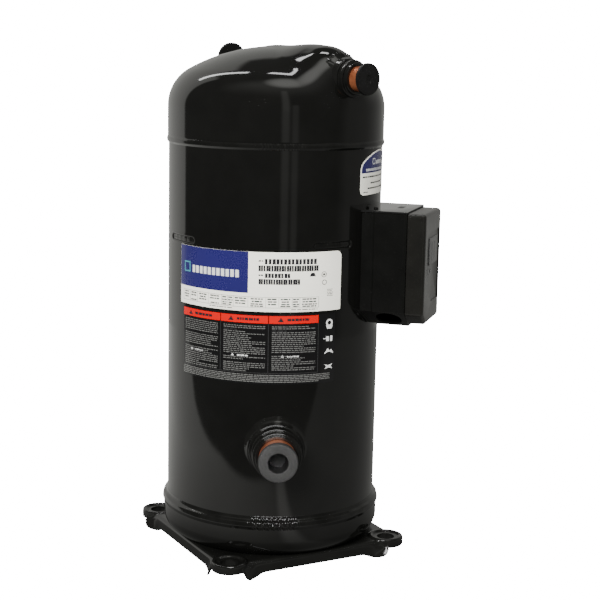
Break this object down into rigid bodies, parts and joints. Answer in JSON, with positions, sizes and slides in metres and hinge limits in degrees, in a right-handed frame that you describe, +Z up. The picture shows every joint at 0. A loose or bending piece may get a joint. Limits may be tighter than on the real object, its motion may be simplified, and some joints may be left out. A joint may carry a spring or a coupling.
{
  "type": "scroll compressor",
  "caption": "Hermetic scroll compressor: tall black shell on a square foot plate, side suction stub, top discharge stub, terminal box and full internal works.",
  "frame": {"origin": "centre of the four mounting holes, on the shell's axis, level with the underside of the ears", "axes": "+Z up along the shell's axis; +X and +Y along the sides of the square mounting plate, with the terminal box over the ear at +X -Y"},
  "size_m": [0.2743, 0.2791, 0.5505],
  "materials": {
    "shell_enamel": "thick glossy black enamel over rolled and pressed steel",
    "copper_tube": "drawn copper tube, lightly tarnished",
    "suction_rubber": "matt dark grey moulded rubber",
    "discharge_rubber": "matt black moulded rubber",
    "box_shell": "satin black coated steel sheet",
    "cover_plastic": "satin black moulded plastic, finely textured",
    "zinc_steel": "zinc-plated fastener steel",
    "pressed_steel": "bare pressed steel, oiled",
    "ground_steel": "ground and hardened steel",
    "lamination": "stacked electrical steel, bluish, with fine layer lines",
    "casting": "grey cast iron, machined on its running faces",
    "alloy": "die-cast aluminium",
    "bearing_bronze": "sintered bronze bearing lining",
    "winding": "enamelled copper wire, varnished",
    "terminal_resin": "dark moulded resin",
    "lead_resin": "off-white moulded resin",
    "protector_wrap": "pale insulating wrap",
    "brass_screw": "bright brass",
    "label_light": null,
    "label_dark": null,
    "label_round": null,
    "magnet": "dark ferrite magnet"
  },
  "bodies": {
    "root": {"mounting_plate": "shell_enamel", "bottom_cap": "shell_enamel", "bottom_seam_weld": "shell_enamel", "shell_tube": "shell_enamel", "plug_welds": "shell_enamel", "top_cap": "shell_enamel", "top_seam_weld": "shell_enamel", "lifting_lug": "shell_enamel", "suction_collar": "shell_enamel", "suction_stub": "copper_tube", "suction_baffle": "pressed_steel", "discharge_collar": "shell_enamel", "discharge_stub": "copper_tube", "terminal_box": "box_shell", "box_studs": "zinc_steel", "terminal_housing": "pressed_steel", "terminal_pins": "copper_tube", "terminal_block": "terminal_resin", "ground_screw": "brass_screw", "motor_lead_block": "lead_resin", "nameplate": "label_light", "info_label": "label_dark", "round_label": "label_round", "muffler_plate": "pressed_steel", "valve_cage": "pressed_steel", "scroll_bolts": "zinc_steel", "main_bearing_housing": "casting", "main_bearing": "bearing_bronze", "stator_core": "lamination", "stator_windings": "winding", "motor_protector": "protector_wrap", "lower_bearing_bracket": "pressed_steel", "lower_bearing": "bearing_bronze", "thrust_washer": "bearing_bronze", "sump_magnet": "magnet"},
    "crank": {"crankshaft": "ground_steel", "upper_counterweight": "casting", "rotor_core": "lamination", "rotor_end_rings": "alloy", "lower_counterweight": "casting", "oil_pickup": "pressed_steel"},
    "drive_bush": {"drive_bush": "ground_steel"},
    "orbiting_scroll": {"orbiting_scroll": "casting", "scroll_bearing": "bearing_bronze"},
    "oldham_ring": {"oldham_ring": "alloy"},
    "fixed_scroll": {"fixed_scroll": "casting"},
    "floating_seal": {"floating_seal": "alloy"},
    "valve_disc": {"valve_disc": "ground_steel"},
    "terminal_box_cover": {"terminal_box_cover": "cover_plastic"},
    "suction_plug": {"suction_plug": "suction_rubber"},
    "discharge_plug": {"discharge_plug": "discharge_rubber"}
  },
  "joints": [
    {"name": "crank_spin", "type": "hinge", "parent": "root", "child": "crank", "pos_m": [0, 0, 0.3], "axis": [0, 0, 1], "continuous": true},
    {"name": "bush_slide", "type": "slide", "parent": "crank", "child": "drive_bush", "axis": [-0.0872, 0.9962, 0], "range_m": [-0.0012, 0]},
    {"name": "scroll_orbit", "type": "hinge", "parent": "drive_bush", "child": "orbiting_scroll", "pos_m": [-0.00051, 0.00578, 0.35], "axis": [0, 0, 1], "continuous": true},
    {"name": "oldham_slide", "type": "slide", "parent": "root", "child": "oldham_ring", "axis": [0.9962, 0.0872, 0], "range_m": [-0.0058, 0.0058]},
    {"name": "fixed_scroll_float", "type": "slide", "parent": "root", "child": "fixed_scroll", "axis": [0, 0, 1], "range_m": [0, 0.001]},
    {"name": "seal_lift", "type": "slide", "parent": "fixed_scroll", "child": "floating_seal", "axis": [0, 0, 1], "range_m": [0, 0.0012]},
    {"name": "valve_lift", "type": "slide", "parent": "root", "child": "valve_disc", "axis": [0, 0, 1], "range_m": [0, 0.005]},
    {"name": "cover_pull", "type": "slide", "parent": "root", "child": "terminal_box_cover", "axis": [0.7071, -0.7071, 0], "range_m": [0, 0.06]},
    {"name": "suction_plug_pull", "type": "slide", "parent": "root", "child": "suction_plug", "axis": [-0.4147, -0.91, 0], "range_m": [0, 0.04]},
    {"name": "discharge_plug_pull", "type": "slide", "parent": "root", "child": "discharge_plug", "axis": [0.2588, -0.9659, 0], "range_m": [0, 0.035]}
  ],
  "couplings": [
    {"joint": "scroll_orbit", "follows": "crank_spin", "ratio": -1}
  ]
}
